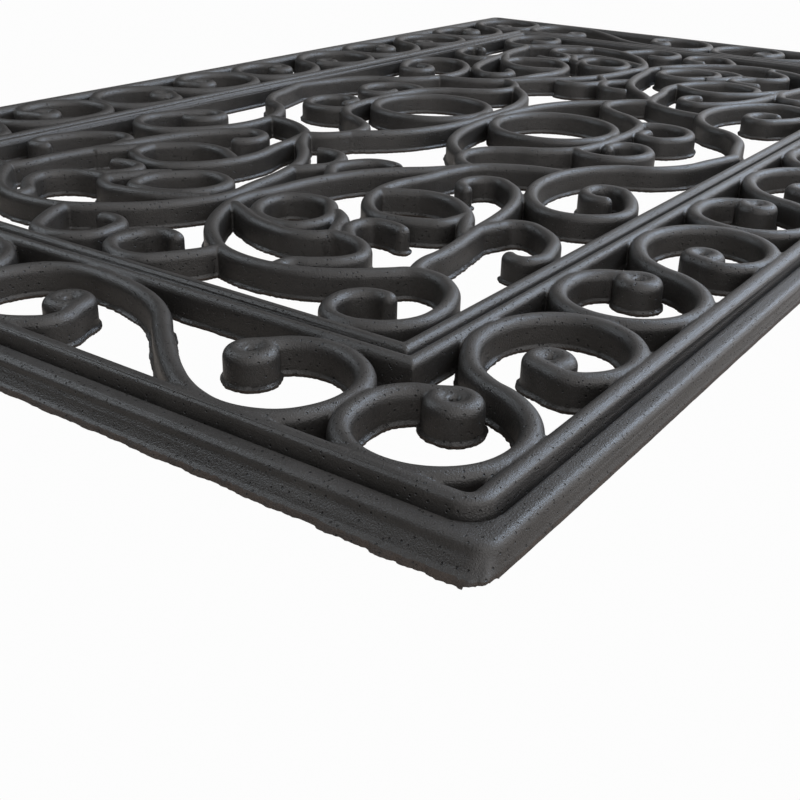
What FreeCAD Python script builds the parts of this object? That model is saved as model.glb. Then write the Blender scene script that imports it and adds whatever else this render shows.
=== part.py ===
import FreeCAD, Part
import math
import os
import Sketcher

# Openwork rubber doormat: a raised bead and scroll border round a field of curled strands.
# Origin: centre of the underside. +X along the long side, +Y along the short side, +Z up.

doc = FreeCAD.newDocument("Doormat")
sheet = doc.addObject("Spreadsheet::Sheet", "Sizes")

driving_sizes = [
    ("mat_length", 762.0, "long side, over the band's upper edges"),
    ("mat_width", 457.0, "short side, over the band's upper edges"),
    ("mat_thickness", 12.1, "floor to the crests"),
    ("band_width", 7.5, "outer band, wall to bead"),
    ("band_drop", 4.1, "band top below the crests"),
    ("band_round", 2.6, "rolled upper edge of the band"),
    ("band_corner", 6.5, "upright corner of the band, radius"),
    ("end_splay", 3.4, "foot of the short walls, beyond their upper edge"),
    ("lip_reach", 1.1, "foot lip, beyond the wall"),
    ("lip_rise", 1.6, "foot lip, height"),
    ("bead_width", 7.8, "half-round bead inside the band"),
    ("bead_rise", 3.5, "round part of the bead, height"),
    ("bead_corner", 6.0, "outer corner of the bead, radius"),
    ("border_gap", 50.9, "bead to inner frame"),
    ("ridge_width", 5.5, "each of the two ridges of the inner frame"),
    ("ridge_rise", 2.6, "round part of a ridge, height"),
    ("slot_width", 1.8, "slot between the ridges"),
    ("slot_depth", 3.8, "slot between the ridges, below the crests"),
    ("scroll_width", 6.9, "strand of the border scrolls"),
    ("strand_width", 6.4, "strand of the field"),
    ("curl_turn", 305.0, "degrees that a strand's end curls round its eye"),
    ("eye_sink", 0.9, "filled eye of a curl, below the crests"),
    ("dimple_width", 2.4, "dimple in the filled eye"),
    ("dimple_depth", 2.6, "dimple in the filled eye, below the crests"),
    ("cut_overrun", 5.0, "how far cutting shapes run past what they cut"),
]
for row, (alias, number, note) in enumerate(driving_sizes, start=1):
    sheet.set("A%d" % row, note)
    sheet.set("B%d" % row, str(number))
    sheet.setAlias("B%d" % row, alias)
doc.recompute()


def size(alias):
    return float(getattr(sheet, alias))


# Sizes worked out from the driving ones
groove_length = size("mat_length") - 2 * size("band_width")
groove_width = size("mat_width") - 2 * size("band_width")
bead_width = size("bead_width")
border_gap = size("border_gap")
frame_edge = bead_width + border_gap
frame_inside = frame_edge + 2 * size("ridge_width") + size("slot_width")
crest = size("mat_thickness")
overrun = size("cut_overrun")
up = FreeCAD.Vector(0, 0, 1)
straight_turn = 0.002

# The pattern is drawn from this corner of the bead's groove, and mirrored to the other three
corner = FreeCAD.Vector(-groove_length / 2, -groove_width / 2, 0)
scrolls_per_long_side = 6
long_pitch = (groove_length - bead_width) / scrolls_per_long_side

long_scroll = {
    "route_shares": [
        (0.373, 0.713), (0.341, 0.860), (0.280, 0.958), (0.217, 0.973), (0.113, 0.909), (0.043, 0.734),
        (0.019, 0.492), (0.046, 0.252), (0.118, 0.077), (0.217, 0.011), (0.303, 0.042), (0.393, 0.168),
        (0.451, 0.350), (0.482, 0.545), (0.529, 0.713), (0.601, 0.846), (0.690, 0.937), (0.789, 0.951),
        (0.872, 0.891), (0.939, 0.769), (0.976, 0.615), (0.985, 0.448), (0.959, 0.238), (0.893, 0.077),
        (0.812, 0.004), (0.742, 0.004), (0.676, 0.077), (0.633, 0.217),
    ],
    "start_eye_shares": (0.355, 0.582),
    "start_curl_share": 0.79,
    "end_eye_shares": (0.695, 0.435),
    "end_curl_share": 0.74,
}

short_scroll = {
    "route_shares": [
        (0.283, 0.741), (0.245, 0.867), (0.173, 0.944), (0.094, 0.874), (0.037, 0.692), (0.016, 0.448),
        (0.028, 0.238), (0.064, 0.063), (0.116, -0.031), (0.173, -0.059), (0.234, -0.021),
        (0.286, 0.049), (0.337, 0.147), (0.410, 0.322), (0.483, 0.517), (0.550, 0.706), (0.620, 0.832),
        (0.690, 0.902), (0.763, 0.937), (0.822, 0.950), (0.895, 0.892), (0.940, 0.783), (0.971, 0.601),
        (0.979, 0.448), (0.962, 0.224), (0.914, 0.042), (0.844, -0.049), (0.787, -0.042),
        (0.725, 0.042), (0.681, 0.196),
    ],
    "start_eye_shares": (0.280, 0.605),
    "start_curl_share": 0.76,
    "end_eye_shares": (0.735, 0.478),
    "end_curl_share": 0.79,
}

arch = {
    "route_shares": [
        (0.098, 0.178), (0.095, 0.226), (0.077, 0.259), (0.055, 0.264), (0.022, 0.231), (0.011, 0.164),
        (0.029, 0.083), (0.062, 0.040), (0.093, 0.036), (0.131, 0.055), (0.166, 0.098), (0.187, 0.164),
        (0.185, 0.226), (0.159, 0.283), (0.138, 0.326), (0.121, 0.369), (0.107, 0.416), (0.095, 0.483),
        (0.090, 0.559), (0.093, 0.630), (0.105, 0.706), (0.131, 0.783), (0.164, 0.854), (0.199, 0.906),
        (0.234, 0.944), (0.272, 0.973), (0.300, 0.978), (0.340, 0.963), (0.418, 0.940), (0.498, 0.887),
        (0.557, 0.806), (0.595, 0.735), (0.654, 0.654),
    ],
    "start": "tip",
    "end": "tip",
}

stem = {
    "route_shares": [
        (0.185, 0.226), (0.223, 0.250), (0.258, 0.250), (0.300, 0.259), (0.340, 0.274), (0.380, 0.288),
        (0.435, 0.302), (0.484, 0.321), (0.545, 0.364), (0.592, 0.435), (0.610, 0.507), (0.597, 0.559),
        (0.562, 0.573), (0.541, 0.535),
    ],
    "start": "butt",
    "end": "tip",
}

inner_arch = {
    "route_shares": [
        (0.095, 0.511), (0.119, 0.507), (0.135, 0.464), (0.161, 0.412), (0.183, 0.397), (0.206, 0.412),
        (0.227, 0.454), (0.237, 0.502), (0.237, 0.564), (0.220, 0.597), (0.208, 0.649), (0.211, 0.725),
        (0.220, 0.792), (0.239, 0.868), (0.260, 0.949),
    ],
    "start": "butt",
    "end": "butt",
}

ring = {
    "route_shares": [
        (0.230, 0.745), (0.234, 0.697), (0.260, 0.664), (0.291, 0.664), (0.319, 0.697), (0.352, 0.773),
        (0.350, 0.835), (0.333, 0.887), (0.298, 0.902), (0.263, 0.873), (0.237, 0.811),
    ],
}

ring_link = {
    "route_shares": [
        (0.237, 0.564), (0.270, 0.597), (0.298, 0.626), (0.319, 0.678),
    ],
    "start": "butt",
    "end": "butt",
}

bud = {
    "route_shares": [
        (0.237, 0.502), (0.253, 0.535), (0.274, 0.564), (0.298, 0.569), (0.314, 0.549), (0.319, 0.502),
        (0.312, 0.445),
    ],
    "start": "butt",
    "end": "tip",
}

leaf = {
    "route_shares": [
        (0.423, 0.378), (0.395, 0.383), (0.373, 0.397), (0.357, 0.445), (0.345, 0.511), (0.345, 0.573),
        (0.366, 0.635), (0.392, 0.678), (0.442, 0.716), (0.496, 0.721), (0.545, 0.697), (0.607, 0.678),
        (0.661, 0.640), (0.694, 0.554), (0.710, 0.473), (0.715, 0.392),
    ],
    "start": "butt",
    "end": "butt",
}

leaf_back = {
    "route_shares": [
        (0.442, 0.711), (0.461, 0.654), (0.477, 0.583), (0.477, 0.516), (0.456, 0.440), (0.423, 0.378),
        (0.380, 0.331), (0.340, 0.283),
    ],
    "start": "butt",
    "end": "butt",
}

corner_hook = {
    "route_shares": [
        (0.364, 0.290), (0.404, 0.271), (0.432, 0.240), (0.438, 0.197), (0.425, 0.140), (0.397, 0.078),
        (0.359, 0.045), (0.324, 0.036), (0.305, 0.064), (0.310, 0.107),
    ],
    "start": "butt",
    "end": "tip",
}

side_spiral = {
    "route_shares": [
        (1.005, 0.036), (0.941, 0.074), (0.878, 0.112), (0.835, 0.174), (0.800, 0.283), (0.748, 0.359),
        (0.691, 0.392), (0.633, 0.388), (0.574, 0.345), (0.536, 0.288), (0.512, 0.221), (0.510, 0.155),
        (0.527, 0.083), (0.559, 0.040), (0.588, 0.040), (0.616, 0.059), (0.654, 0.102), (0.680, 0.155),
        (0.677, 0.212), (0.647, 0.235), (0.620, 0.197), (0.618, 0.145),
    ],
    "start": "butt",
    "end": "tip",
}

end_ring = {
    "route_shares": [
        (0.110, 0.706), (0.077, 0.725), (0.055, 0.749), (0.036, 0.773), (0.018, 0.806), (0.012, 0.859),
        (0.022, 0.921), (0.045, 0.962), (0.073, 0.962), (0.096, 0.948), (0.108, 0.911), (0.105, 0.865),
    ],
    "start": "butt",
    "end": "tip",
}

centre_link = {
    "route_shares": [
        (0.461, 0.921), (0.484, 0.963), (0.512, 0.992), (0.545, 0.978), (0.578, 0.921), (0.576, 0.835),
    ],
    "start": "butt",
    "end": "butt",
}

mid_arch = {
    "route_shares": [
        (0.654, 0.654), (0.687, 0.740), (0.729, 0.768), (0.771, 0.740), (0.800, 0.673), (0.828, 0.578),
        (0.870, 0.502), (0.929, 0.473), (1.005, 0.473),
    ],
    "start": "butt",
    "end": "butt",
}

mid_curl = {
    "route_shares": [
        (0.870, 0.502), (0.849, 0.426), (0.856, 0.340), (0.894, 0.283), (0.939, 0.293), (0.965, 0.359),
        (0.948, 0.426), (0.918, 0.426),
    ],
    "start": "butt",
    "end": "tip",
}

mid_spine = {
    "route_shares": [
        (0.710, 0.759), (0.739, 0.825), (0.781, 0.892), (0.847, 0.949), (0.929, 0.978), (1.005, 0.980),
    ],
    "start": "butt",
    "end": "butt",
}

mid_ring = {
    "route_shares": [
        (1.009, 0.506), (0.922, 0.569), (0.892, 0.725), (0.922, 0.882), (1.009, 0.948),
    ],
    "start": "butt",
    "end": "butt",
}


def value(formula):
    return float(sheet.evalExpression(formula))


def named(formula):
    for alias, number, note in driving_sizes:
        formula = formula.replace(alias, "Sizes." + alias)
    return formula


def origin_plane(body, role):
    for feature in body.Origin.OriginFeatures:
        if feature.Role == role:
            return feature


def arc_between(here, there, radius):
    """The arc under a half circle that bulges to the left of the way from here to there."""
    chord = there - here
    side = FreeCAD.Vector(-chord.y, chord.x, 0).normalize()
    depth = math.sqrt(max(radius ** 2 - chord.Length ** 2 / 4, 0))
    centre = (here + there) * 0.5 - side * depth
    begin = there - centre
    finish = here - centre
    circle = Part.Circle(centre, FreeCAD.Vector(0, 0, 1), radius)
    return Part.ArcOfCircle(circle, math.atan2(begin.y, begin.x), math.atan2(finish.y, finish.x))


def draw_outline(sketch, corners):
    """Each corner is two formulas, and a radius too where an arc leaves it for the next corner."""
    count = len(corners)
    first_line = len(sketch.Geometry)
    places = [FreeCAD.Vector(value(c[0]), value(c[1]), 0) for c in corners]
    ends = []
    for i, formulas in enumerate(corners):
        here = places[i]
        there = places[(i + 1) % count]
        if len(formulas) == 3:
            line = arc_between(here, there, value(formulas[2]))
        else:
            line = Part.LineSegment(here, there)
        sketch.addGeometry(line, False)
        forward = (line.StartPoint - here).Length < (line.EndPoint - here).Length
        ends.append((1, 2) if forward else (2, 1))
    for i, formulas in enumerate(corners):
        previous = (i - 1) % count
        line = first_line + i
        sketch.addConstraint(Sketcher.Constraint(
            "Coincident", first_line + previous, ends[previous][1], line, ends[i][0]))
        for kind, formula, place in zip(("DistanceX", "DistanceY"), formulas, places[i]):
            index = sketch.addConstraint(Sketcher.Constraint(kind, -1, 1, line, ends[i][0], place))
            sketch.setExpression("Constraints[%d]" % index, named(formula))
        if len(formulas) == 3:
            index = sketch.addConstraint(Sketcher.Constraint("Radius", line, value(formulas[2])))
            sketch.setExpression("Constraints[%d]" % index, named(formulas[2]))


def new_sketch(body, name, role):
    sketch = body.newObject("Sketcher::SketchObject", name)
    sketch.AttachmentSupport = [(origin_plane(body, role), "")]
    sketch.MapMode = "FlatFace"
    return sketch


def make_rail(label, along_x, outline, rail_width, half_run, half_side, roundings=()):
    """A straight rail on the front or left side, its ends cut at 45 degrees, then rounded."""
    body = doc.addObject("PartDesign::Body", label)
    body.Label = label
    section = new_sketch(body, label + "_section", "YZ_Plane" if along_x else "XZ_Plane")
    draw_outline(section, outline)
    pad = body.newObject("PartDesign::Pad", label + "_pad")
    pad.Profile = section
    pad.SideType = "Symmetric"
    pad.setExpression("Length", named("2 * (%s + lip_reach)" % half_run))
    doc.recompute()
    ends = new_sketch(body, label + "_mitres", "XY_Plane")
    for sign in ("-1", "1"):
        tip = "(%s) * (%s + cut_overrun)" % (sign, half_run)
        heel = "(%s) * (%s - %s - cut_overrun)" % (sign, half_run, rail_width)
        near = "-(%s) - cut_overrun" % half_side
        far = "-(%s) + %s + cut_overrun" % (half_side, rail_width)
        if along_x:
            draw_outline(ends, [(tip, near), (tip, far), (heel, far)])
        else:
            draw_outline(ends, [(near, tip), (far, tip), (far, heel)])
    pocket = body.newObject("PartDesign::Pocket", label + "_mitre_cut")
    pocket.Profile = ends
    pocket.SideType = "Symmetric"
    pocket.setExpression("Length", named("4 * mat_thickness"))
    doc.recompute()
    for rounding in roundings:
        round_ends(body, along_x, *rounding)
    return body


def round_ends(body, along_x, name, end_line, side_line, radius, floor, height):
    """Cut away what lies outside a quarter circle at both ends, from floor upwards."""
    sketch = new_sketch(body, "%s_%s" % (body.Label, name), "XY_Plane")
    sketch.setExpression("AttachmentOffset.Base.z", named(floor))
    for sign in ("-1", "1"):
        line = "(%s) * (%s)" % (sign, end_line)
        arc_end = "(%s) * (%s - %s)" % (sign, end_line, radius)
        outside = "(%s) * (%s + cut_overrun)" % (sign, end_line)
        side = "-(%s)" % side_line
        arc_side = side + " + " + radius
        beyond = side + " - cut_overrun"
        on_end = (line, arc_side) if along_x else (arc_side, line)
        on_side = (arc_end, side) if along_x else (side, arc_end)
        rest = [(arc_end, beyond), (outside, beyond), (outside, arc_side)]
        if not along_x:
            rest = [(across, along) for along, across in rest]
        if (sign == "1") == along_x:
            draw_outline(sketch, [on_end + (radius,), on_side] + rest)
        else:
            draw_outline(sketch, [on_side + (radius,), on_end] + rest[::-1])
    cut = body.newObject("PartDesign::Pocket", "%s_%s_cut" % (body.Label, name))
    cut.Profile = sketch
    cut.Reversed = True
    cut.setExpression("Length", named(height))
    doc.recompute()


half_length = "mat_length / 2"
half_width = "mat_width / 2"
band_top = "mat_thickness - band_drop"
border_width = "(band_width + bead_width)"
frame_width = "(2 * ridge_width + slot_width)"
frame_inset = "(band_width + bead_width + border_gap)"


def border_outline(wall, splay):
    """Band with a foot lip and a rolled upper edge, and the half-round bead beside it."""
    groove = "-(%s) + band_width" % wall
    bead_side = "mat_thickness - bead_rise"
    bead_radius = "(bead_width * bead_width / 4 + bead_rise * bead_rise) / (2 * bead_rise)"
    return [
        ("-(%s) - %s - lip_reach" % (wall, splay), "0"),
        ("-(%s) - %s" % (wall, splay), "lip_rise"),
        ("-(%s)" % wall, band_top + " - band_round", "band_round"),
        ("-(%s) + band_round" % wall, band_top),
        (groove, band_top),
        (groove, bead_side, bead_radius),
        (groove + " + bead_width", bead_side),
        (groove + " + bead_width", "0"),
    ]


def frame_outline(edge):
    """Two ridges side by side with a slot between them."""
    side = "mat_thickness - ridge_rise"
    bottom = "mat_thickness - slot_depth"
    radius = "(ridge_width * ridge_width / 4 + ridge_rise * ridge_rise) / (2 * ridge_rise)"
    return [
        ("-(%s)" % edge, "0"),
        ("-(%s)" % edge, side, radius),
        ("-(%s) + ridge_width" % edge, side),
        ("-(%s) + ridge_width" % edge, bottom),
        ("-(%s) + ridge_width + slot_width" % edge, bottom),
        ("-(%s) + ridge_width + slot_width" % edge, side, radius),
        ("-(%s) + 2 * ridge_width + slot_width" % edge, side),
        ("-(%s) + 2 * ridge_width + slot_width" % edge, "0"),
    ]


def border_roundings(half_run, run_splay, half_side, side_splay):
    """The upright corners of the band, from the floor up, and of the bead, above the band."""
    through = "4 * mat_thickness"
    foot_end = "%s + %s + lip_reach" % (half_run, run_splay)
    foot_side = "%s + %s + lip_reach" % (half_side, side_splay)
    bead_end = half_run + " - band_width"
    bead_side = half_side + " - band_width"
    return [
        ("band_corners", foot_end, foot_side, "band_corner", "-cut_overrun", through),
        ("bead_corners", bead_end, bead_side, "bead_corner", band_top, through),
    ]


border_front = make_rail("border_front", True, border_outline(half_width, "0"), border_width,
                         half_length, half_width,
                         border_roundings(half_length, "end_splay", half_width, "0"))
border_left = make_rail("border_left", False, border_outline(half_length, "end_splay"), border_width,
                        half_width, half_length,
                        border_roundings(half_width, "0", half_length, "end_splay"))
frame_half_length = half_length + " - " + frame_inset
frame_half_width = half_width + " - " + frame_inset
frame_front = make_rail("frame_front", True, frame_outline(frame_half_width), frame_width,
                        frame_half_length, frame_half_width)
frame_left = make_rail("frame_left", False, frame_outline(frame_half_length), frame_width,
                       frame_half_width, frame_half_length)


def largest_solid(shape):
    return max(shape.Solids, key=lambda solid: solid.Volume)


def strand_section(point, direction, width, half_only=False):
    """Across a strand: upright walls and a half-round crest."""
    strand_half = width / 2
    across = FreeCAD.Vector(direction.y, -direction.x, 0)
    right = point + across * strand_half
    left = point if half_only else point - across * strand_half
    shoulder = up * (crest - strand_half)
    top = point + up * crest
    lines = [Part.makeLine(left, right), Part.makeLine(right, right + shoulder)]
    if half_only:
        middle = point + shoulder + (across + up).normalize() * strand_half
        lines.append(Part.Arc(right + shoulder, middle, top).toShape())
        lines.append(Part.makeLine(top, point))
    else:
        lines.append(Part.Arc(right + shoulder, top, left + shoulder).toShape())
        lines.append(Part.makeLine(left + shoulder, left))
    return Part.Face(Part.Wire(lines))


def turned_left(direction):
    return FreeCAD.Vector(-direction.y, direction.x, 0)


def arc_from(here, direction, there):
    """The arc, or line, that leaves here along direction and ends there."""
    chord = there - here
    turn = math.atan2(turned_left(direction).dot(chord), direction.dot(chord))
    if abs(turn) < math.radians(straight_turn):
        return Part.makeLine(here, there)
    bulge = turned_left(chord).normalize() * (-chord.Length / 2 * math.tan(turn / 2))
    return Part.Arc(here, (here + there) * 0.5 + bulge, there).toShape()


def two_arcs(here, leaving, there, arriving):
    """Two arcs, tangent where they meet, between two points with given directions."""
    chord = there - here
    both = leaving + arriving
    spread = 2 * (1 - leaving.dot(arriving))
    along = chord.dot(both)
    if spread < 1e-9:
        reach = chord.dot(chord) / (4 * chord.dot(arriving))
    else:
        reach = (math.sqrt(along ** 2 + spread * chord.dot(chord)) - along) / spread
    joint = (here + there + (leaving - arriving) * reach) * 0.5
    first = arc_from(here, leaving, joint)
    second = arc_from(there, arriving * -1, joint)
    return [first, second]


def directions_along(points, first=None, last=None):
    """At each point the direction of the circle through it and its two neighbours."""
    found = []
    for i, point in enumerate(points):
        at = min(max(i, 1), len(points) - 2)
        before = points[at] - points[at - 1]
        after = points[at + 1] - points[at]
        direction = before * (after.Length / before.Length) + after * (before.Length / after.Length)
        direction.normalize()
        if i != at:
            chord = (before if i == 0 else after).normalize()
            direction = chord * (2 * chord.dot(direction)) - direction
        found.append(direction)
    if first:
        found[0] = first
    if last:
        found[-1] = last
    return found


def curl_start(point, before, eye, radius):
    """Where a strand that comes from point meets the circle round its eye, and how it turns."""
    to_eye = eye - point
    left_side = turned_left(point - before).dot(to_eye) > 0
    lean = math.asin(radius / to_eye.Length)
    heading = math.atan2(to_eye.y, to_eye.x) - (lean if left_side else -lean)
    direction = FreeCAD.Vector(math.cos(heading), math.sin(heading), 0)
    run = math.sqrt(to_eye.Length ** 2 - radius ** 2)
    return point + direction * run, direction, 1 if left_side else -1


def curled_end(eye, radius, meet, direction, side, width):
    """The strand's end turned round its eye, the eye filled and left with a dimple."""
    curl = strand_section(meet, direction, width).revolve(eye, up, side * size("curl_turn"))
    filling = Part.makeCylinder(radius, crest - size("eye_sink"), eye)
    bottom = crest - size("dimple_depth")
    dimple = Part.makeCylinder(size("dimple_width") / 2, crest, eye + up * bottom)
    return curl, filling, dimple


def make_strand(table, width, origin, spans, along_x=True):
    """The solid of one strand. Its shares run along the side that it lies on, and across."""

    def place(shares):
        along = shares[0] * spans[0]
        across = shares[1] * spans[1]
        if along_x:
            return origin + FreeCAD.Vector(along, across, 0)
        return origin + FreeCAD.Vector(across, along, 0)

    points = [place(s) for s in table["route_shares"]]
    closed = "start" not in table and "start_eye_shares" not in table
    extras = []
    dimples = []
    first = None
    last = None
    if "start_eye_shares" in table:
        eye = place(table["start_eye_shares"])
        radius = table["start_curl_share"] * width
        meet, direction, side = curl_start(points[0], points[1], eye, radius)
        points.insert(0, meet)
        first = direction * -1
        curl, filling, dimple = curled_end(eye, radius, meet, direction, side, width)
        extras += [curl, filling]
        dimples.append(dimple)
    if "end_eye_shares" in table:
        eye = place(table["end_eye_shares"])
        radius = table["end_curl_share"] * width
        meet, direction, side = curl_start(points[-1], points[-2], eye, radius)
        points.append(meet)
        last = direction
        curl, filling, dimple = curled_end(eye, radius, meet, direction, side, width)
        extras += [curl, filling]
        dimples.append(dimple)
    if closed:
        ring = [points[-1]] + points + points[:2]
        directions = directions_along(ring)[1:-1]
        points.append(points[0])
    else:
        directions = directions_along(points, first, last)
    lines = []
    for i in range(len(points) - 1):
        lines += two_arcs(points[i], directions[i], points[i + 1], directions[i + 1])
    wire = Part.Wire(lines)
    solid = wire.makePipe(strand_section(points[0], directions[0], width))
    if solid.ShapeType != "Solid":
        solid = Part.Solid(solid)
    if table.get("start") == "tip":
        half = strand_section(points[0], directions[0] * -1, width, True)
        extras.append(half.revolve(points[0], up, 180))
    if table.get("end") == "tip":
        half = strand_section(points[-1], directions[-1], width, True)
        extras.append(half.revolve(points[-1], up, 180))
    if extras:
        solid = largest_solid(solid.fuse(extras))
    if dimples:
        solid = largest_solid(solid.cut(dimples))
    return solid


def trimmed(solid, neighbours):
    """The solid without what its neighbours hold, so that they meet face to face."""
    box = solid.BoundBox
    near = [other for other in neighbours if box.intersect(other.BoundBox)]
    return largest_solid(solid.cut(near)) if near else solid


# The quarter of the mat that is drawn, a little taller than the mat
quarter_box = Part.makeBox(size("mat_length") / 2 + overrun, size("mat_width") / 2 + overrun,
                           crest + 2 * overrun)
quarter_box.translate(FreeCAD.Vector(-size("mat_length") / 2 - overrun,
                                     -size("mat_width") / 2 - overrun, -overrun))


def kept_in_quarter(solid):
    return largest_solid(solid.common(quarter_box))


parts = []


def add_solid(label, solid, origin, formulas):
    feature = doc.addObject("Part::Feature", label)
    feature.Label = label
    shift = FreeCAD.Matrix()
    shift.move(origin * -1)
    local = solid.copy()
    local.transformShape(shift, True)
    feature.Shape = local
    feature.Placement = FreeCAD.Placement(origin, FreeCAD.Rotation())
    for axis, formula in zip("xy", formulas):
        feature.setExpression("Placement.Base." + axis, named(formula))
    parts.append(feature)
    return feature


def add_mirror(label, source, normal):
    mirror = doc.addObject("Part::Mirroring", label)
    mirror.Label = label
    mirror.Source = source
    mirror.Normal = normal
    parts.append(mirror)
    return mirror


def add_quarters(name, solid, origin, formulas):
    """The drawn solid and its three mirrored twins, each a piece of its own."""
    front_left = add_solid(name + "_front_left", solid, origin, formulas)
    front_right = add_mirror(name + "_front_right", front_left, FreeCAD.Vector(1, 0, 0))
    add_mirror(name + "_back_left", front_left, FreeCAD.Vector(0, 1, 0))
    add_mirror(name + "_back_right", front_right, FreeCAD.Vector(0, 1, 0))


parts += [border_front, border_left, frame_front, frame_left]
add_mirror("border_back", border_front, FreeCAD.Vector(0, 1, 0))
add_mirror("border_right", border_left, FreeCAD.Vector(1, 0, 0))
add_mirror("frame_back", frame_front, FreeCAD.Vector(0, 1, 0))
add_mirror("frame_right", frame_left, FreeCAD.Vector(1, 0, 0))
rails = [body.Shape for body in (border_front, border_left, frame_front, frame_left)]

groove_corner = ("-(mat_length / 2 - band_width)", "-(mat_width / 2 - band_width)")

# Scrolls along the long sides
laid = list(rails)
scroll_spans = (long_pitch, border_gap)
for number in range(1, scrolls_per_long_side // 2 + 1):
    shift = bead_width / 2 + (number - 1) * long_pitch
    origin = corner + FreeCAD.Vector(shift, bead_width, 0)
    solid = make_strand(long_scroll, size("scroll_width"), origin, scroll_spans)
    solid = trimmed(kept_in_quarter(solid), laid)
    laid.append(solid)
    formulas = ("%s + bead_width / 2 + %d * (mat_length - 2 * band_width - bead_width) / %d"
                % (groove_corner[0], number - 1, scrolls_per_long_side),
                groove_corner[1] + " + bead_width")
    add_quarters("long_scroll_%d" % number, solid, origin, formulas)

# Scrolls along the short sides
origin = corner + FreeCAD.Vector(bead_width, frame_edge, 0)
spans = (groove_width / 2 - frame_edge, border_gap)
solid = make_strand(short_scroll, size("scroll_width"), origin, spans, along_x=False)
solid = trimmed(kept_in_quarter(solid), laid)
laid.append(solid)
add_quarters("short_scroll", solid, origin,
             (groove_corner[0] + " + bead_width",
              groove_corner[1] + " + bead_width + border_gap"))

# The field inside the frame
field_origin = corner + FreeCAD.Vector(frame_inside, frame_inside, 0)
field_spans = (groove_length / 2 - frame_inside, groove_width / 2 - frame_inside)
inset = " + bead_width + border_gap + 2 * ridge_width + slot_width"
field_formulas = (groove_corner[0] + inset, groove_corner[1] + inset)
field_strands = [
    ("arch", [arch]),
    ("stem", [stem]),
    ("inner_arch", [inner_arch]),
    ("ring", [ring, ring_link, bud]),
    ("side_spiral", [side_spiral]),
    ("corner_hook", [corner_hook]),
    ("leaf", [leaf, leaf_back]),
    ("end_ring", [end_ring]),
]


def field_solid(tables):
    solids = [make_strand(table, size("strand_width"), field_origin, field_spans)
              for table in tables]
    if len(solids) > 1:
        solids = largest_solid(solids[0].fuse(solids[1:])).Solids
    solid = trimmed(kept_in_quarter(solids[0]), laid)
    laid.append(solid)
    return solid


for name, tables in field_strands:
    add_quarters(name, field_solid(tables), field_origin, field_formulas)


def add_straddling(name, tables, normal, sides):
    """A piece that lies across a centre line: one half, joined to its mirror image."""
    half = field_solid(tables)
    whole = half.fuse(half.mirror(FreeCAD.Vector(0, 0, 0), normal))
    first = add_solid(name + "_" + sides[0], largest_solid(whole), field_origin, field_formulas)
    add_mirror(name + "_" + sides[1], first, FreeCAD.Vector(normal.y, normal.x, 0))


add_straddling("centre_link", [centre_link], FreeCAD.Vector(0, 1, 0), ("left", "right"))
add_straddling("mid_motif", [mid_arch, mid_curl, mid_spine, mid_ring], FreeCAD.Vector(1, 0, 0),
               ("front", "back"))

doc.recompute()

for thing in doc.Objects:
    if "Invalid" in thing.State or "Error" in thing.State:
        raise RuntimeError("failed: " + thing.Label)
for part in parts:
    if part.Shape.isNull() or not part.Shape.isValid() or not part.Shape.Solids:
        raise RuntimeError("no valid solid: " + part.Label)

os.makedirs("parts", exist_ok=True)
for part in parts:
    part.Shape.exportStep("parts/%s.step" % part.Label)
print(len(parts), "parts written")
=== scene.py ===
# Openwork rubber doormat: a stepped rail, a scroll border, a double ridge and a scrolled field
import math

import bpy
import numpy as np
from mathutils import Matrix, Vector


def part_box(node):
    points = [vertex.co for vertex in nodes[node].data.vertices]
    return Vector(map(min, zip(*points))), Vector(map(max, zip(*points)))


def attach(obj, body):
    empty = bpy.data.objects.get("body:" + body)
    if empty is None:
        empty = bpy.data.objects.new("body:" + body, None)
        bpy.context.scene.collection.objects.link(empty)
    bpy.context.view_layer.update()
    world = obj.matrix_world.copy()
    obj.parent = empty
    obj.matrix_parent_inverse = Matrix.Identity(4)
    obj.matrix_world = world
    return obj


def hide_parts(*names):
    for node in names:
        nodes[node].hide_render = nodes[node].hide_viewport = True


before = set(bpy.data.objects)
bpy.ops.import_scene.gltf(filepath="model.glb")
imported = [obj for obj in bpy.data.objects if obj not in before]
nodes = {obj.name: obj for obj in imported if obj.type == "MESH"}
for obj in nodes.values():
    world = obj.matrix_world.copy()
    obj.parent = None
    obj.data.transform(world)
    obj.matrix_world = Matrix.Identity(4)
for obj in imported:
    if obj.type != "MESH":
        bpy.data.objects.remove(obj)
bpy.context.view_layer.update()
print("frame loaded with", len(nodes), "nodes")

# The mat is one moulding, so its quarter is cast as one skin and mirrored to the other three corners
casting = {
    "voxel": 0.00056,  # grain of the skin that runs over all the strands
    "softening": 2,  # smoothing passes, which round every inner corner as a mould does
    "softShare": 0.5,  # how far a pass moves a vertex towards the middle of its neighbours
    "lastShare": 0.35,  # the same for the one pass after the foot is made
    "keptShare": 0.27,  # share of the faces kept once the skin is smooth
    "creaseAngle": 60,  # degrees from which an edge is shaded sharp
    "runPast": 0.004,  # how far the quarter runs past the mat's middle lines until it is cut there
    "cutDepth": 0.05,  # reach of the cutting blocks past the mat
    "blockSegments": 16,  # facets of a cutting block's rounded corner
    "zoneGap": 0.0001,  # how far outside the bead the zone of the scrolls begins
    "sameSpot": 0.00001,  # places closer than this are one
    "tiny": 0.000001,  # a length that counts as none
}


def deselectAll():
    bpy.ops.object.select_all(action="DESELECT")


def makeActive(piece):
    deselectAll()
    piece.select_set(True)
    bpy.context.view_layer.objects.active = piece


def applyModifier(piece, kind, **settings):
    makeActive(piece)
    modifier = piece.modifiers.new("work", kind)
    for name, value in settings.items():
        setattr(modifier, name, value)
    bpy.ops.object.modifier_apply(modifier=modifier.name)


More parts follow.
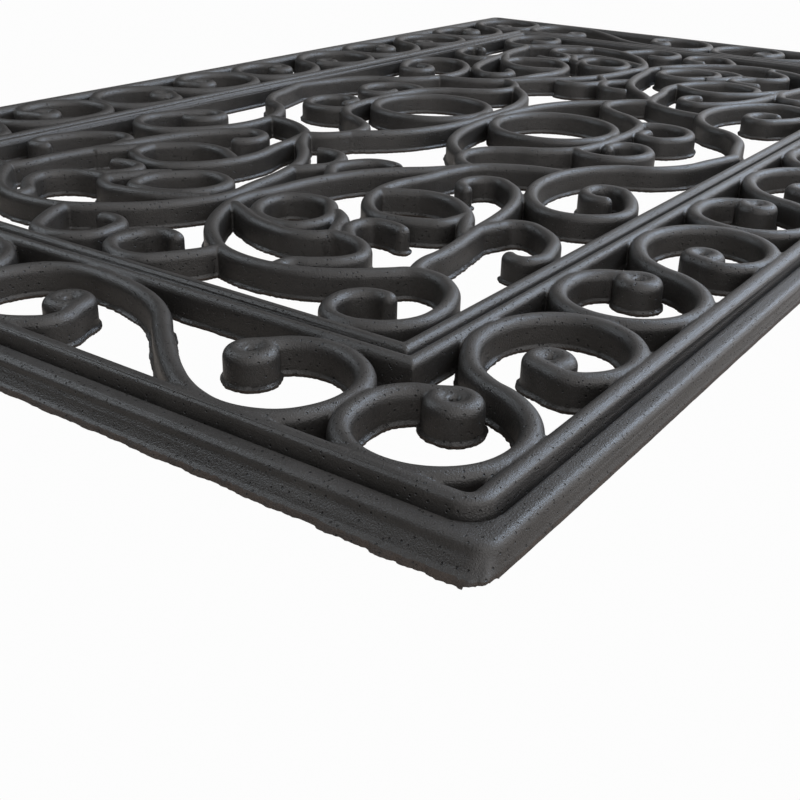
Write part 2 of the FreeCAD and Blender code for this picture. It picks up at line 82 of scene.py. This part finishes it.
def editWhole(piece, operator, **settings):
    makeActive(piece)
    bpy.ops.object.mode_set(mode="EDIT")
    bpy.ops.mesh.select_all(action="SELECT")
    operator(**settings)
    bpy.ops.object.mode_set(mode="OBJECT")


def twinOf(piece, title):
    twin = bpy.data.objects.new(title, piece.data.copy())
    bpy.context.collection.objects.link(twin)
    return twin


def joinedCopy(names, title):
    deselectAll()
    for name in names:
        twin = twinOf(nodes[name], name + "Copy")
        twin.select_set(True)
        bpy.context.view_layer.objects.active = twin
    bpy.ops.object.join()
    joined = bpy.context.object
    joined.name = title
    editWhole(joined, bpy.ops.mesh.remove_doubles, threshold=casting["tiny"])
    return joined


def joinTo(piece, added):
    makeActive(piece)
    added.select_set(True)
    bpy.ops.object.join()


def keepNear(piece, point):
    # what lies past the point along or across the mat goes, and the cuts are closed
    for normal in ((1, 0, 0), (0, 1, 0)):
        cut = {"plane_co": point, "plane_no": normal, "clear_outer": True, "use_fill": True}
        editWhole(piece, bpy.ops.mesh.bisect, **cut)


def cutBlock(low, high):
    # a plain block to cut with, from one corner to the other
    deselectAll()
    middle = (Vector(low) + Vector(high)) / 2
    bpy.ops.mesh.primitive_cube_add(size=1)
    block = bpy.context.object
    block.data.transform(Matrix.Diagonal((*(Vector(high) - Vector(low)), 1)))
    block.data.transform(Matrix.Translation(middle))
    return block


def cutWith(piece, block, operation):
    applyModifier(piece, "BOOLEAN", operation=operation, object=block, solver="EXACT")
    bpy.data.objects.remove(block)


def readVectors(collection, field):
    flat = np.empty(len(collection) * 3, np.float32)
    collection.foreach_get(field, flat)
    return flat.reshape(-1, 3)


def places(piece):
    return readVectors(piece.data.vertices, "co")


def directions(piece):
    return readVectors(piece.data.vertex_normals, "vector")


def movePlaces(piece, moved):
    piece.data.vertices.foreach_set("co", moved.astype(np.float32).ravel())
    piece.data.update()


# The bead turns the corner in a round bend, and the band's upright corner is rounded
bend = {
    "beadWidth": 0.0078,
    "beadHeight": 0.0035,  # of its round part
    "beadInside": 0.0010,  # radius of the bend along the bead's inner foot
    "beadSegments": (64, 32),  # facets of a whole ring, around it and around its section
    "overcut": 0.00002,  # how deep the mitred bead is cut into the band's top
    "crest": 0.0121,
    "bandTop": 0.0080,
    "bandRadius": 0.0055,
    "roundedFrom": -0.0010,  # the rounding starts below the floor, so the foot is partly round
    "roundedFully": 0.0035,
    "topWithin": 0.0004,  # how far above the band's top the rounding still takes hold
    "wallTop": 0.0054,  # where the end wall begins to splay outwards on its way down
    "wallFoot": 0.0016,
    "wallWithin": 0.0008,  # how far behind the side's wall a vertex still belongs to it
    "endSplay": 0.0034,
    "footLip": 0.0011,
    "cornerReach": 0.013,  # how far from the tip the upright corner is smoothed
    "cornerFade": 0.5,  # the far share of that reach, over which the smoothing dies away
    "cornerFrom": 0.0001,  # height above the floor where it begins
    "cornerPasses": 14,
    "grooveDepth": 0.0040,  # how far the crease outside the bead is pressed down
    "grooveWidth": 0.0011,  # to each side of its bottom
}


def beadBend(innerX, innerY):
    # a quarter of a ring, flattened to the bead's height and sunk halfway into the band
    half = bend["beadWidth"] / 2
    radius = bend["beadInside"] + half
    around, section = bend["beadSegments"]
    middle = (innerX + bend["beadInside"], innerY + bend["beadInside"], 0)
    deselectAll()
    bpy.ops.mesh.primitive_torus_add(
        major_radius=radius, minor_radius=half, major_segments=around, minor_segments=section
    )
    ring = bpy.context.object
    ring.name = "beadBend"
    ring.data.transform(Matrix.Diagonal((1, 1, bend["beadHeight"] / half, 1)))
    ring.data.transform(Matrix.Translation((middle[0], middle[1], bend["crest"] - bend["beadHeight"])))
    keepNear(ring, middle)
    return ring


def borderCorner():
    # the two rails of the corner, their mitred bead cut off there and bent round instead
    rails = joinedCopy(["border_front", "border_left"], "rails")
    innerX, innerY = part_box("border_left")[1].x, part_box("border_front")[1].y
    outside = bend["beadWidth"] + bend["beadInside"]
    far = bend["beadInside"]
    low = (innerX - outside, innerY - outside, bend["bandTop"] - bend["overcut"])
    high = (innerX + far, innerY + far, 2 * bend["crest"])
    cutWith(rails, cutBlock(low, high), "DIFFERENCE")
    joinTo(rails, beadBend(innerX, innerY))
    return rails


def flareSide(piece):
    # the long sides lean out evenly down to the floor
    at = places(piece)
    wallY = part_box("border_front")[0].y + bend["footLip"]
    fall = np.clip(1 - at[:, 2] / bend["wallTop"], 0, 1)
    lip = np.clip(1 - at[:, 2] / bend["wallFoot"], 0, 1)
    onWall = at[:, 1] < wallY + bend["wallWithin"]
    at[:, 1] -= np.where(onWall, bend["footLip"] * (fall - lip), 0.0)
    movePlaces(piece, at)


def roundBand(piece):
    # square rings round the corner become round ones, by a push that grows towards the outer edge
    at = places(piece)
    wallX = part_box("border_left")[0].x + bend["footLip"] + bend["endSplay"]
    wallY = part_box("border_front")[0].y + bend["footLip"]
    drop = np.clip((bend["wallTop"] - at[:, 2]) / (bend["wallTop"] - bend["wallFoot"]), 0, 1)
    radius = bend["bandRadius"]
    u = radius - (at[:, 0] - wallX + bend["endSplay"] * drop)
    v = radius - (at[:, 1] - wallY)
    near = (u > 0) & (v > 0) & (at[:, 2] < bend["bandTop"] + bend["topWithin"])
    rise = bend["roundedFully"] - bend["roundedFrom"]
    strength = np.clip((at[:, 2] - bend["roundedFrom"]) / rise, 0, 1)
    shrink = np.maximum(u, v) / np.maximum(np.hypot(u, v), casting["tiny"])
    shrink = np.where(near, 1 - (1 - shrink) * strength, 1.0)
    at[:, 0] += np.where(near, u * (1 - shrink), 0.0)
    at[:, 1] += np.where(near, v * (1 - shrink), 0.0)
    movePlaces(piece, at)


def pressGroove(piece):
    # the crease follows the bead, straight along the rails and round at the corner
    at = places(piece)
    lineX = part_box("border_left")[1].x - bend["beadWidth"]
    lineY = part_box("border_front")[1].y - bend["beadWidth"]
    radius = bend["beadInside"] + bend["beadWidth"]
    u = at[:, 0] - lineX
    v = at[:, 1] - lineY
    inBend = (u < radius) & (v < radius)
    aside = np.where(inBend, radius - np.hypot(u - radius, v - radius), np.minimum(u, v))
    share = np.clip(1 - (aside / bend["grooveWidth"]) ** 2, 0, 1)
    share = np.where(at[:, 2] > bend["wallTop"], share, 0.0)
    at[:, 2] -= bend["grooveDepth"] * share
    movePlaces(piece, at)


def easeCorner(piece):
    # the upright corner of the band is smoothed below the shoulder, fading out along both walls
    at = places(piece)
    low = at.min(axis=0)
    fromTip = np.hypot(at[:, 0] - low[0] - bend["endSplay"], at[:, 1] - low[1])
    share = np.clip((1 - fromTip / bend["cornerReach"]) / bend["cornerFade"], 0, 1)
    between = (at[:, 2] > bend["cornerFrom"]) & (at[:, 2] < bend["bandTop"])
    share = np.where(between, share, 0.0)
    group = piece.vertex_groups.new(name="upright")
    for index in np.nonzero(share)[0]:
        group.add([int(index)], float(share[index]), "REPLACE")
    applyModifier(
        piece, "SMOOTH", factor=casting["softShare"], iterations=bend["cornerPasses"], vertex_group="upright"
    )
    piece.vertex_groups.clear()


# The pit in the middle of each border curl, by its place along and across the border
curlPits = {
    "scrollsPerSide": 6,
    "longSides": ((0.355, 0.582), (0.695, 0.435)),  # shares of one scroll's length and of the border's width
    "shortSides": ((0.280, 0.605), (0.735, 0.478)),  # shares of half the short side and of the border's width
    "depth": 0.0022,
    "width": 0.0020,  # from the middle to the rim
    "stretch": 1.35,  # longer than wide
}


def curlPlaces():
    beadX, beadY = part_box("border_left")[1].x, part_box("border_front")[1].y
    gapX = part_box("frame_left")[0].x - beadX
    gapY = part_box("frame_front")[0].y - beadY
    first = beadX - bend["beadWidth"] / 2
    pitch = -2 * first / curlPits["scrollsPerSide"]
    found = []
    for number in range(curlPits["scrollsPerSide"] // 2):
        for along, across in curlPits["longSides"]:
            found.append((first + (number + along) * pitch, beadY + across * gapY))
    half = -(beadY + gapY)
    for along, across in curlPits["shortSides"]:
        found.append((beadX + across * gapX, (along - 1) * half))
    return found


def pressPits(piece):
    at = places(piece)
    stretch = curlPits["stretch"]
    for middleX, middleY in curlPlaces():
        aside = (at[:, 0] - middleX) ** 2 / stretch + (at[:, 1] - middleY) ** 2 * stretch
        share = np.clip(1 - aside / curlPits["width"] ** 2, 0, 1)
        at[:, 2] -= np.where(at[:, 2] > bend["bandTop"], curlPits["depth"] * share, 0.0)
    movePlaces(piece, at)


# Rubber that crept out under the mould: a thin ragged ledge at the foot of every wall
flash = {
    "height": 0.0017,  # top of the ledge above the floor
    "reach": 0.0011,  # how far it stands out
    "raggedness": 0.0003,  # how much that changes along the wall
    "sideLoss": 0.85,  # share of the ledge that is missing at the mat's long sides
    "cornerReach": 0.0017,  # how much further at the mat's corners, along the short ends
    "cornerFade": 0.055,  # over which it dies away from the corner
    "cornerRaggedness": 0.35,  # share by which that changes along the wall
    "facingFrom": 0.2,  # how squarely a wall must face outwards to count as the mat's own edge
    "facingSpan": 0.6,  # and how much more until it counts fully
    "sideWithin": 3,  # foot lips from the mat's edge in which a wall can be the long side's
    "endWithin": 2,  # end splays from the mat's edge in which a wall can be the short end's
    # ripples of the ragged edge, from long to short: radians per metre and weight
    "waves": ((211.0, 0.9), (523.0, 0.7), (1370.0, 0.4), (2903.0, 0.2)),
    "acrossWave": 1.13,  # the ripple across the mat, by the one along it
    "warp": 1.7,  # how far each ripple is bent by a slower one, so that they don't line up
    "warpWaves": (0.31, 0.37),  # the slower ones, by the ripple
}


def ripple(at):
    # between -1 and 1, the same at the same place on any run
    value = np.zeros(len(at))
    x, y = at[:, 0], at[:, 1]
    warp, (warpAlong, warpAcross) = flash["warp"], flash["warpWaves"]
    for turn, (wave, weight) in enumerate(flash["waves"]):
        along = x * wave + warp * np.sin(y * wave * warpAlong) + turn
        across = y * wave * flash["acrossWave"] + warp * np.sin(x * wave * warpAcross) + 2 * turn
        value += weight * np.sin(along) * np.cos(across)
    return np.clip(value, -1, 1)


def facingOut(lean, atEdge):
    share = np.clip((lean - flash["facingFrom"]) / flash["facingSpan"], 0, 1)
    return np.where(atEdge, share, 0.0)


def spreadFoot(piece):
    at, out = places(piece), directions(piece)
    level = np.hypot(out[:, 0], out[:, 1])
    low = at.min(axis=0)
    fromCorner = np.hypot(at[:, 0] - low[0], at[:, 1] - low[1])
    facingSide = facingOut(-out[:, 1], at[:, 1] < low[1] + flash["sideWithin"] * bend["footLip"])
    facingEnd = facingOut(-out[:, 0], at[:, 0] < low[0] + flash["endWithin"] * bend["endSplay"])
    ripples = ripple(at)
    reach = flash["reach"] + flash["raggedness"] * ripples
    extra = flash["cornerReach"] * np.exp(-fromCorner / flash["cornerFade"])
    extra = extra * (1 + flash["cornerRaggedness"] * ripples)
    reach = reach * (1 - flash["sideLoss"] * facingSide) + facingEnd * extra
    pushed = np.where(at[:, 2] < flash["height"], reach * level, 0.0)
    at[:, :2] += out[:, :2] * pushed[:, None]
    movePlaces(piece, at)


def quarterNodes():
    # what lies in the quarter, what spans a middle line and what begins just past one, but not the rails
    own = [name for name in sorted(nodes) if name.endswith("_front_left")]
    spanning = ["frame_front", "frame_left", "centre_link_left", "mid_motif_front"]
    justPast = ["long_scroll_3_front_right", "side_spiral_front_right", "short_scroll_back_left"]
    return own + spanning + justPast + ["arch_back_left", "end_ring_back_left"]


def castQuarter():
    quarter = joinedCopy(quarterNodes(), "quarter")
    joinTo(quarter, borderCorner())
    past = casting["runPast"]
    keepNear(quarter, (past, past, 0))
    applyModifier(quarter, "REMESH", mode="VOXEL", voxel_size=casting["voxel"])
    print("quarter skinned with", len(quarter.data.polygons), "faces")
    flareSide(quarter)
    roundBand(quarter)
    applyModifier(quarter, "SMOOTH", factor=casting["softShare"], iterations=casting["softening"])
    pressGroove(quarter)
    pressPits(quarter)
    spreadFoot(quarter)
    easeCorner(quarter)
    applyModifier(quarter, "SMOOTH", factor=casting["lastShare"], iterations=1)
    applyModifier(quarter, "DECIMATE", ratio=casting["keptShare"])
    keepNear(quarter, (0, 0, 0))
    print("quarter cast with", len(quarter.data.polygons), "faces")
    return quarter


def roundBlockCorner(block, nearX, nearY, radius):
    # the upright edge nearest to the mat's corner
    makeActive(block)
    bpy.ops.object.mode_set(mode="EDIT")
    bpy.ops.mesh.select_mode(type="EDGE")
    bpy.ops.mesh.select_all(action="DESELECT")
    bpy.ops.object.mode_set(mode="OBJECT")
    for edge in block.data.edges:
        ends = [block.data.vertices[index].co for index in edge.vertices]
        edge.select = all(math.hypot(end.x - nearX, end.y - nearY) < casting["sameSpot"] for end in ends)
    bpy.ops.object.mode_set(mode="EDIT")
    bpy.ops.mesh.bevel(offset=radius, segments=casting["blockSegments"], affect="EDGES")
    bpy.ops.object.mode_set(mode="OBJECT")


def zoneOf(quarter, title, outerLine, innerLine):
    # the part of the quarter between two rounded rectangles, given by near corner and its radius
    zone = twinOf(quarter, title)
    depth = casting["cutDepth"]
    for line, operation in ((outerLine, "INTERSECT"), (innerLine, "DIFFERENCE")):
        if line is None:
            continue
        nearX, nearY, radius = line
        block = cutBlock((nearX, nearY, -depth), (depth, depth, depth))
        if radius > 0:
            roundBlockCorner(block, nearX, nearY, radius)
        cutWith(zone, block, operation)
    # slivers that the cuts leave behind
    editWhole(zone, bpy.ops.mesh.dissolve_degenerate, threshold=2 * casting["tiny"])
    if zone.data.validate():
        print(title, "mended")
    return zone


def dividingLines():
    # along the foot of the bead, and along the slot of the double ridge
    reach = bend["beadWidth"] + casting["zoneGap"]
    radius = bend["beadInside"] + reach
    beadFoot = (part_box("border_left")[1].x - reach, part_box("border_front")[1].y - reach, radius)
    slotX = (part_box("frame_left")[0].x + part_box("frame_left")[1].x) / 2
    slotY = (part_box("frame_front")[0].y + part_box("frame_front")[1].y) / 2
    return beadFoot, (slotX, slotY, 0)


def mirroredTo(zone, title, turnX, turnY):
    twin = twinOf(zone, title)
    twin.data.transform(Matrix.Diagonal((turnX, turnY, 1, 1)))
    if turnX * turnY < 0:
        twin.data.flip_normals()
    return twin


# A rubber mat never lies quite flat or straight
slump = {
    "sway": 0.00035,  # sideways wander of the rails and strands
    "lift": 0.00018,  # unevenness of the top
    "waves": (19.0, 31.0),  # radians per metre along and across the mat
    # share of those waves, and where each begins in radians, for the two sways and for the lift
    "swayAlong": ((0.6, 0.0), (1.0, 0.7)),
    "swayAcross": ((1.0, 1.9), (0.5, 0.0)),
    "rise": ((1.7, 0.4), (1.3, 2.2)),
}


def slumpWaves(at, kind):
    (alongShare, alongStart), (acrossShare, acrossStart) = slump[kind]
    along, across = slump["waves"]
    return at[:, 0] * along * alongShare + alongStart, at[:, 1] * across * acrossShare + acrossStart


def settle(piece):
    at = places(piece)
    along, across = slumpWaves(at, "swayAlong")
    sway = np.sin(across) * np.cos(along)
    along, across = slumpWaves(at, "swayAcross")
    drift = np.sin(along) * np.cos(across)
    along, across = slumpWaves(at, "rise")
    lift = np.sin(along) * np.sin(across)
    heights = np.clip(at[:, 2] / at[:, 2].max(), 0, 1)
    at[:, 0] += slump["sway"] * sway
    at[:, 1] += slump["sway"] * drift
    at[:, 2] += slump["lift"] * (lift - 1) * heights
    movePlaces(piece, at)


# The construction pieces that each zone hides, by how their names begin
hiddenNames = {
    "outer_band": ("border_",),
    "scroll_border": ("border_", "frame_", "long_scroll", "short_scroll"),
    "scrolled_field": ("frame_", "arch", "stem", "inner_arch", "ring", "side_spiral", "corner_hook")
    + ("leaf", "end_ring", "centre_link", "mid_motif"),
}


def standsFor(title):
    return [name for name in sorted(nodes) if name.startswith(hiddenNames[title])]


def nearCorner(name, corner):
    # a construction piece that spans two corners counts for both
    sideways = [side for side in ("left", "right") if name.endswith(side)]
    lengthways = [side for side in ("front", "back") if "_" + side in name]
    return all(side in corner for side in sideways + lengthways)


def castMat():
    quarter = castQuarter()
    beadFoot, slot = dividingLines()
    rings = {
        "outer_band": (None, beadFoot),
        "scroll_border": (beadFoot, slot),
        "scrolled_field": (slot, None),
    }
    corners = {"front_left": (1, 1), "front_right": (-1, 1), "back_left": (1, -1), "back_right": (-1, -1)}
    made = []
    for title, (outerLine, innerLine) in rings.items():
        zone = zoneOf(quarter, title, outerLine, innerLine)
        for corner, (turnX, turnY) in corners.items():
            piece = mirroredTo(zone, title + "_" + corner, turnX, turnY)
            settle(piece)
            makeActive(piece)
            bpy.ops.object.shade_smooth_by_angle(angle=math.radians(casting["creaseAngle"]))
            made.append(piece)
            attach(piece, "root")
            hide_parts(*[name for name in standsFor(title) if nearCorner(name, corner)])
        print(title, "cast with", len(zone.data.polygons), "faces a quarter")
        bpy.data.objects.remove(zone)
    bpy.data.objects.remove(quarter)
    return made


# Matt black rubber with a fine skin, pinholes where air was trapped, painted near black inside as painted
# shade, and faint drag lines on the walls
rubber = {
    "dark": (0.010, 0.0095, 0.009),
    "light": (0.026, 0.0246, 0.0232),
    "roughness": (0.26, 0.46),
    "grain": 0.21,  # height of the skin's grain in mm
    "streaks": 0.06,  # height of the drag lines in mm
    "holes": 0.90,  # depth of the pinholes in mm
    "cloudScale": 60.0,
}

# The same rubber at the foot, painted browner and patchier there: painted contact shade and painted warm
# light from the floor
shadedFootLook = {
    "dark": (0.004, 0.003, 0.0025),
    "light": (0.034, 0.023, 0.016),
    "roughness": (0.60, 0.80),
    "grain": 0.30,
    "streaks": 0.05,
    "holes": 0.60,
    "cloudScale": 190.0,
    "upTo": 0.75,  # share of the ledge's height
}

# The patterns in the surface, which the rubber and its foot share
patterns = {
    "cloud": (("Detail", 4.0), ("Roughness", 0.6)),
    "grain": (("Scale", 2100.0), ("Detail", 2.0), ("Roughness", 0.6)),
    "streaks": (("Scale", 900.0), ("Detail", 2.0), ("Roughness", 0.5)),
    "streakStretch": (0.04, 0.04, 1.0),  # drag lines run level, so their pattern is stretched sideways
    "toneShares": (1.5, 1.3, 0.5),  # of cloud, grain and streaks
    "toneStart": -1.0,
    "holes": (("Spacing", 500.0), ("Width", 0.20)),  # cells per metre, and radius of a hole by its cell
    "holeFloor": 0.10,  # radius of its flat floor, likewise
    # near black painted into each pinhole: painted shade in the pit
    "pitShadeColour": (0.002, 0.002, 0.002, 1),
}


def addNode(tree, kind, inputs=(), **settings):
    node = tree.nodes.new(kind)
    for name, value in settings.items():
        setattr(node, name, value)
    for name, value in inputs:
        node.inputs[name].default_value = value
    return node


def newGroup(title, sockets):
    group = bpy.data.node_groups.new(title, "ShaderNodeTree")
    for name, direction, kind in sockets:
        group.interface.new_socket(name=name, in_out=direction, socket_type=kind)
    return group, addNode(group, "NodeGroupInput"), addNode(group, "NodeGroupOutput")


def mixOf(tree, first, second):
    mix = addNode(tree, "ShaderNodeMix", data_type="RGBA")
    for name, colour in (("A", first), ("B", second)):
        mix.inputs[name].default_value = colour
    return mix


def weighedSum(tree, parts, start=0.0):
    # the start and every part times its weight, added up by a row of nodes
    total = None
    for source, weight in parts:
        step = addNode(tree, "ShaderNodeMath", operation="MULTIPLY_ADD")
        tree.links.new(source, step.inputs[0])
        step.inputs[1].default_value = weight
        step.inputs[2].default_value = start
        if total:
            tree.links.new(total, step.inputs[2])
        total = step.outputs["Value"]
    return total


def makePinholes():
    sockets = [
        ("Place", "INPUT", "NodeSocketVector"),
        ("Spacing", "INPUT", "NodeSocketFloat"),
        ("Width", "INPUT", "NodeSocketFloat"),
        ("Hole", "OUTPUT", "NodeSocketFloat"),
    ]
    group, given, result = newGroup("pinholes", sockets)
    links = group.links
    cells = addNode(group, "ShaderNodeTexVoronoi", feature="F1")
    links.new(given.outputs["Place"], cells.inputs["Vector"])
    links.new(given.outputs["Spacing"], cells.inputs["Scale"])
    # the nearer to the cell's point, the deeper
    slope = [("From Min", patterns["holeFloor"]), ("To Min", 1.0), ("To Max", 0.0)]
    depth = addNode(group, "ShaderNodeMapRange", slope, interpolation_type="SMOOTHSTEP")
    links.new(cells.outputs["Distance"], depth.inputs["Value"])
    links.new(given.outputs["Width"], depth.inputs["From Max"])
    links.new(depth.outputs["Result"], result.inputs["Hole"])
    return group


def makeSkin():
    sockets = [
        ("Place", "INPUT", "NodeSocketVector"),
        ("Cloud Scale", "INPUT", "NodeSocketFloat"),
        ("Cloud", "OUTPUT", "NodeSocketFloat"),
        ("Mottle", "OUTPUT", "NodeSocketFloat"),
        ("Grain", "OUTPUT", "NodeSocketFloat"),
        ("Streaks", "OUTPUT", "NodeSocketFloat"),
    ]
    group, given, result = newGroup("rubberSkin", sockets)
    links = group.links
    cloud, grain, streaks = [
        addNode(group, "ShaderNodeTexNoise", patterns[name]) for name in ("cloud", "grain", "streaks")
    ]
    links.new(given.outputs["Cloud Scale"], cloud.inputs["Scale"])
    level = addNode(group, "ShaderNodeMapping", [("Scale", patterns["streakStretch"])])
    for reader in (cloud, grain, level):
        links.new(given.outputs["Place"], reader.inputs["Vector"])
    links.new(level.outputs["Vector"], streaks.inputs["Vector"])
    sources = [noise.outputs["Fac"] for noise in (cloud, grain, streaks)]
    for source, name in zip(sources, ("Cloud", "Grain", "Streaks")):
        links.new(source, result.inputs[name])
    # the tone follows the clouds, the grain and the drag lines, each with its own share
    held = addNode(group, "ShaderNodeClamp")
    mottle = weighedSum(group, zip(sources, patterns["toneShares"]), patterns["toneStart"])
    links.new(mottle, held.inputs["Value"])
    links.new(held.outputs["Result"], result.inputs["Mottle"])
    return group


def rubberMaterial(title, look, skin, pinholes):
    material = bpy.data.materials.new(title)
    material.use_nodes = True
    tree = material.node_tree
    links = tree.links
    shader = tree.nodes["Principled BSDF"]
    place = addNode(tree, "ShaderNodeTexCoord").outputs["Object"]
    surface = addNode(tree, "ShaderNodeGroup", [("Cloud Scale", look["cloudScale"])], node_tree=skin)
    holes = addNode(tree, "ShaderNodeGroup", patterns["holes"], node_tree=pinholes)
    for reader in (surface, holes):
        links.new(place, reader.inputs["Place"])
    tone = mixOf(tree, (*look["dark"], 1), (*look["light"], 1))
    links.new(surface.outputs["Mottle"], tone.inputs["Factor"])
    # the pinholes' pits take a near-black painted shade over the rubber's tone
    pitShaded = mixOf(tree, patterns["pitShadeColour"], patterns["pitShadeColour"])
    links.new(holes.outputs["Hole"], pitShaded.inputs["Factor"])
    links.new(tone.outputs["Result"], pitShaded.inputs["A"])
    links.new(pitShaded.outputs["Result"], shader.inputs["Base Color"])
    smooth, rough = look["roughness"]
    sheen = addNode(tree, "ShaderNodeMapRange", [("To Min", smooth), ("To Max", rough)])
    links.new(surface.outputs["Cloud"], sheen.inputs["Value"])
    links.new(sheen.outputs["Result"], shader.inputs["Roughness"])
    # heights are added in millimetres, which the bump takes as thousandths
    reliefs = [(surface.outputs["Grain"], look["grain"]), (surface.outputs["Streaks"], look["streaks"])]
    height = weighedSum(tree, reliefs + [(holes.outputs["Hole"], -look["holes"])])
    bump = addNode(tree, "ShaderNodeBump", [("Strength", 1.0), ("Distance", 0.001)])
    links.new(height, bump.inputs["Height"])
    links.new(bump.outputs["Normal"], shader.inputs["Normal"])
    return material


def paintMat(pieces):
    skin, pinholes = makeSkin(), makePinholes()
    body = rubberMaterial("mattBlackRubber", rubber, skin, pinholes)
    shadedFootMaterial = rubberMaterial("shadedFootRubber", shadedFootLook, skin, pinholes)
    # faces low at the foot take the rubber with painted contact shade and painted warm floor light
    footTop = flash["height"] * shadedFootLook["upTo"]
    for piece in pieces:
        piece.data.materials.clear()
        piece.data.materials.append(body)
        piece.data.materials.append(shadedFootMaterial)
        for face in piece.data.polygons:
            face.material_index = int(face.center.z < footTop)
    print("rubber finished")


studio = {
    "floorSize": 8.0,
    "floorDrop": 0.0002,  # how far below the mat the floor lies
    "floorColour": (0.42, 0.38, 0.34, 1),
    "floorRoughness": 0.9,
    "floorSeen": 0.98,  # how white the camera sees the floor
    "skySide": (0.22, -0.94, 0.26),  # the side that the daylight comes from
    "skySpan": (-0.6, 0.95),  # how squarely a direction faces that side where the sky is dim, and bright
    "skyBright": (1.95, 1.92, 1.93, 1),
    "skyDim": (0.07, 0.065, 0.06, 1),
    # place, size, power and colour of each window
    "windows": (
        ((0.85, -0.45, 0.85), 0.5, 9.5, (0.62, 0.78, 1.0)),
        ((-0.40, 1.05, 0.90), 0.7, 6.0, (0.84, 0.92, 1.0)),
    ),
}


def floorPaint():
    # to the camera a plain white ground, to everything else a pale matt floor
    paint = bpy.data.materials.new("paleFloorPaint")
    paint.use_nodes = True
    tree = paint.node_tree
    shader = tree.nodes["Principled BSDF"]
    shader.inputs["Base Color"].default_value = studio["floorColour"]
    shader.inputs["Roughness"].default_value = studio["floorRoughness"]
    seen = addNode(tree, "ShaderNodeEmission", [("Strength", studio["floorSeen"])])
    path = addNode(tree, "ShaderNodeLightPath")
    either = addNode(tree, "ShaderNodeMixShader")
    tree.links.new(path.outputs["Is Camera Ray"], either.inputs["Fac"])
    tree.links.new(shader.outputs["BSDF"], either.inputs[1])
    tree.links.new(seen.outputs["Emission"], either.inputs[2])
    tree.links.new(either.outputs["Shader"], tree.nodes["Material Output"].inputs["Surface"])
    return paint


def daylight():
    # bright towards one side, dim on the other
    world = bpy.data.worlds.new("softDaylight")
    world.use_nodes = True
    tree = world.node_tree
    direction = addNode(tree, "ShaderNodeTexCoord").outputs["Generated"]
    towards = addNode(tree, "ShaderNodeVectorMath", operation="DOT_PRODUCT")
    towards.inputs[1].default_value = Vector(studio["skySide"]).normalized()
    tree.links.new(direction, towards.inputs[0])
    dimAt, brightAt = studio["skySpan"]
    span = [("From Min", dimAt), ("From Max", brightAt)]
    share = addNode(tree, "ShaderNodeMapRange", span, interpolation_type="SMOOTHSTEP")
    tree.links.new(towards.outputs["Value"], share.inputs["Value"])
    colour = mixOf(tree, studio["skyDim"], studio["skyBright"])
    tree.links.new(share.outputs["Result"], colour.inputs["Factor"])
    tree.links.new(colour.outputs["Result"], tree.nodes["Background"].inputs["Color"])
    return world


def makeStudio():
    scene = bpy.context.scene
    scene.view_settings.view_transform = "Standard"
    deselectAll()
    bpy.ops.mesh.primitive_plane_add(size=studio["floorSize"], location=(0, 0, -studio["floorDrop"]))
    floor = bpy.context.object
    floor.name = "paleFloor"
    floor.data.materials.append(floorPaint())
    scene.world = daylight()
    for place, size, power, colour in studio["windows"]:
        bpy.ops.object.light_add(type="AREA", location=place)
        window = bpy.context.object
        window.data.size, window.data.energy, window.data.color = size, power, colour
        window.rotation_euler = (-window.location).to_track_quat("-Z", "Y").to_euler()
    print("floor and light set")


# Stood low beyond the near corner, looking along the mat
view = {
    "place": (-0.5641, -0.3289, 0.1460),
    "forward": (0.741, 0.508, -0.439),
    "right": (0.576, -0.817, 0.026),
    "lens": 50.5,
    "sensor": 36.0,
    "nearest": 0.01,  # nothing closer than this is drawn
}


def makeCamera():
    lens = bpy.data.cameras.new("view")
    camera = bpy.data.objects.new("view", lens)
    bpy.context.collection.objects.link(camera)
    lens.lens, lens.sensor_width = view["lens"], view["sensor"]
    lens.clip_start = view["nearest"]
    forward = Vector(view["forward"]).normalized()
    right = Vector(view["right"])
    right = (right - forward * right.dot(forward)).normalized()
    up = right.cross(forward)
    turn = Matrix((right, up, -forward)).transposed()
    camera.matrix_world = Matrix.Translation(view["place"]) @ turn.to_4x4()
    bpy.context.scene.camera = camera


makeCamera()
matPieces = castMat()
paintMat(matPieces)
makeStudio()
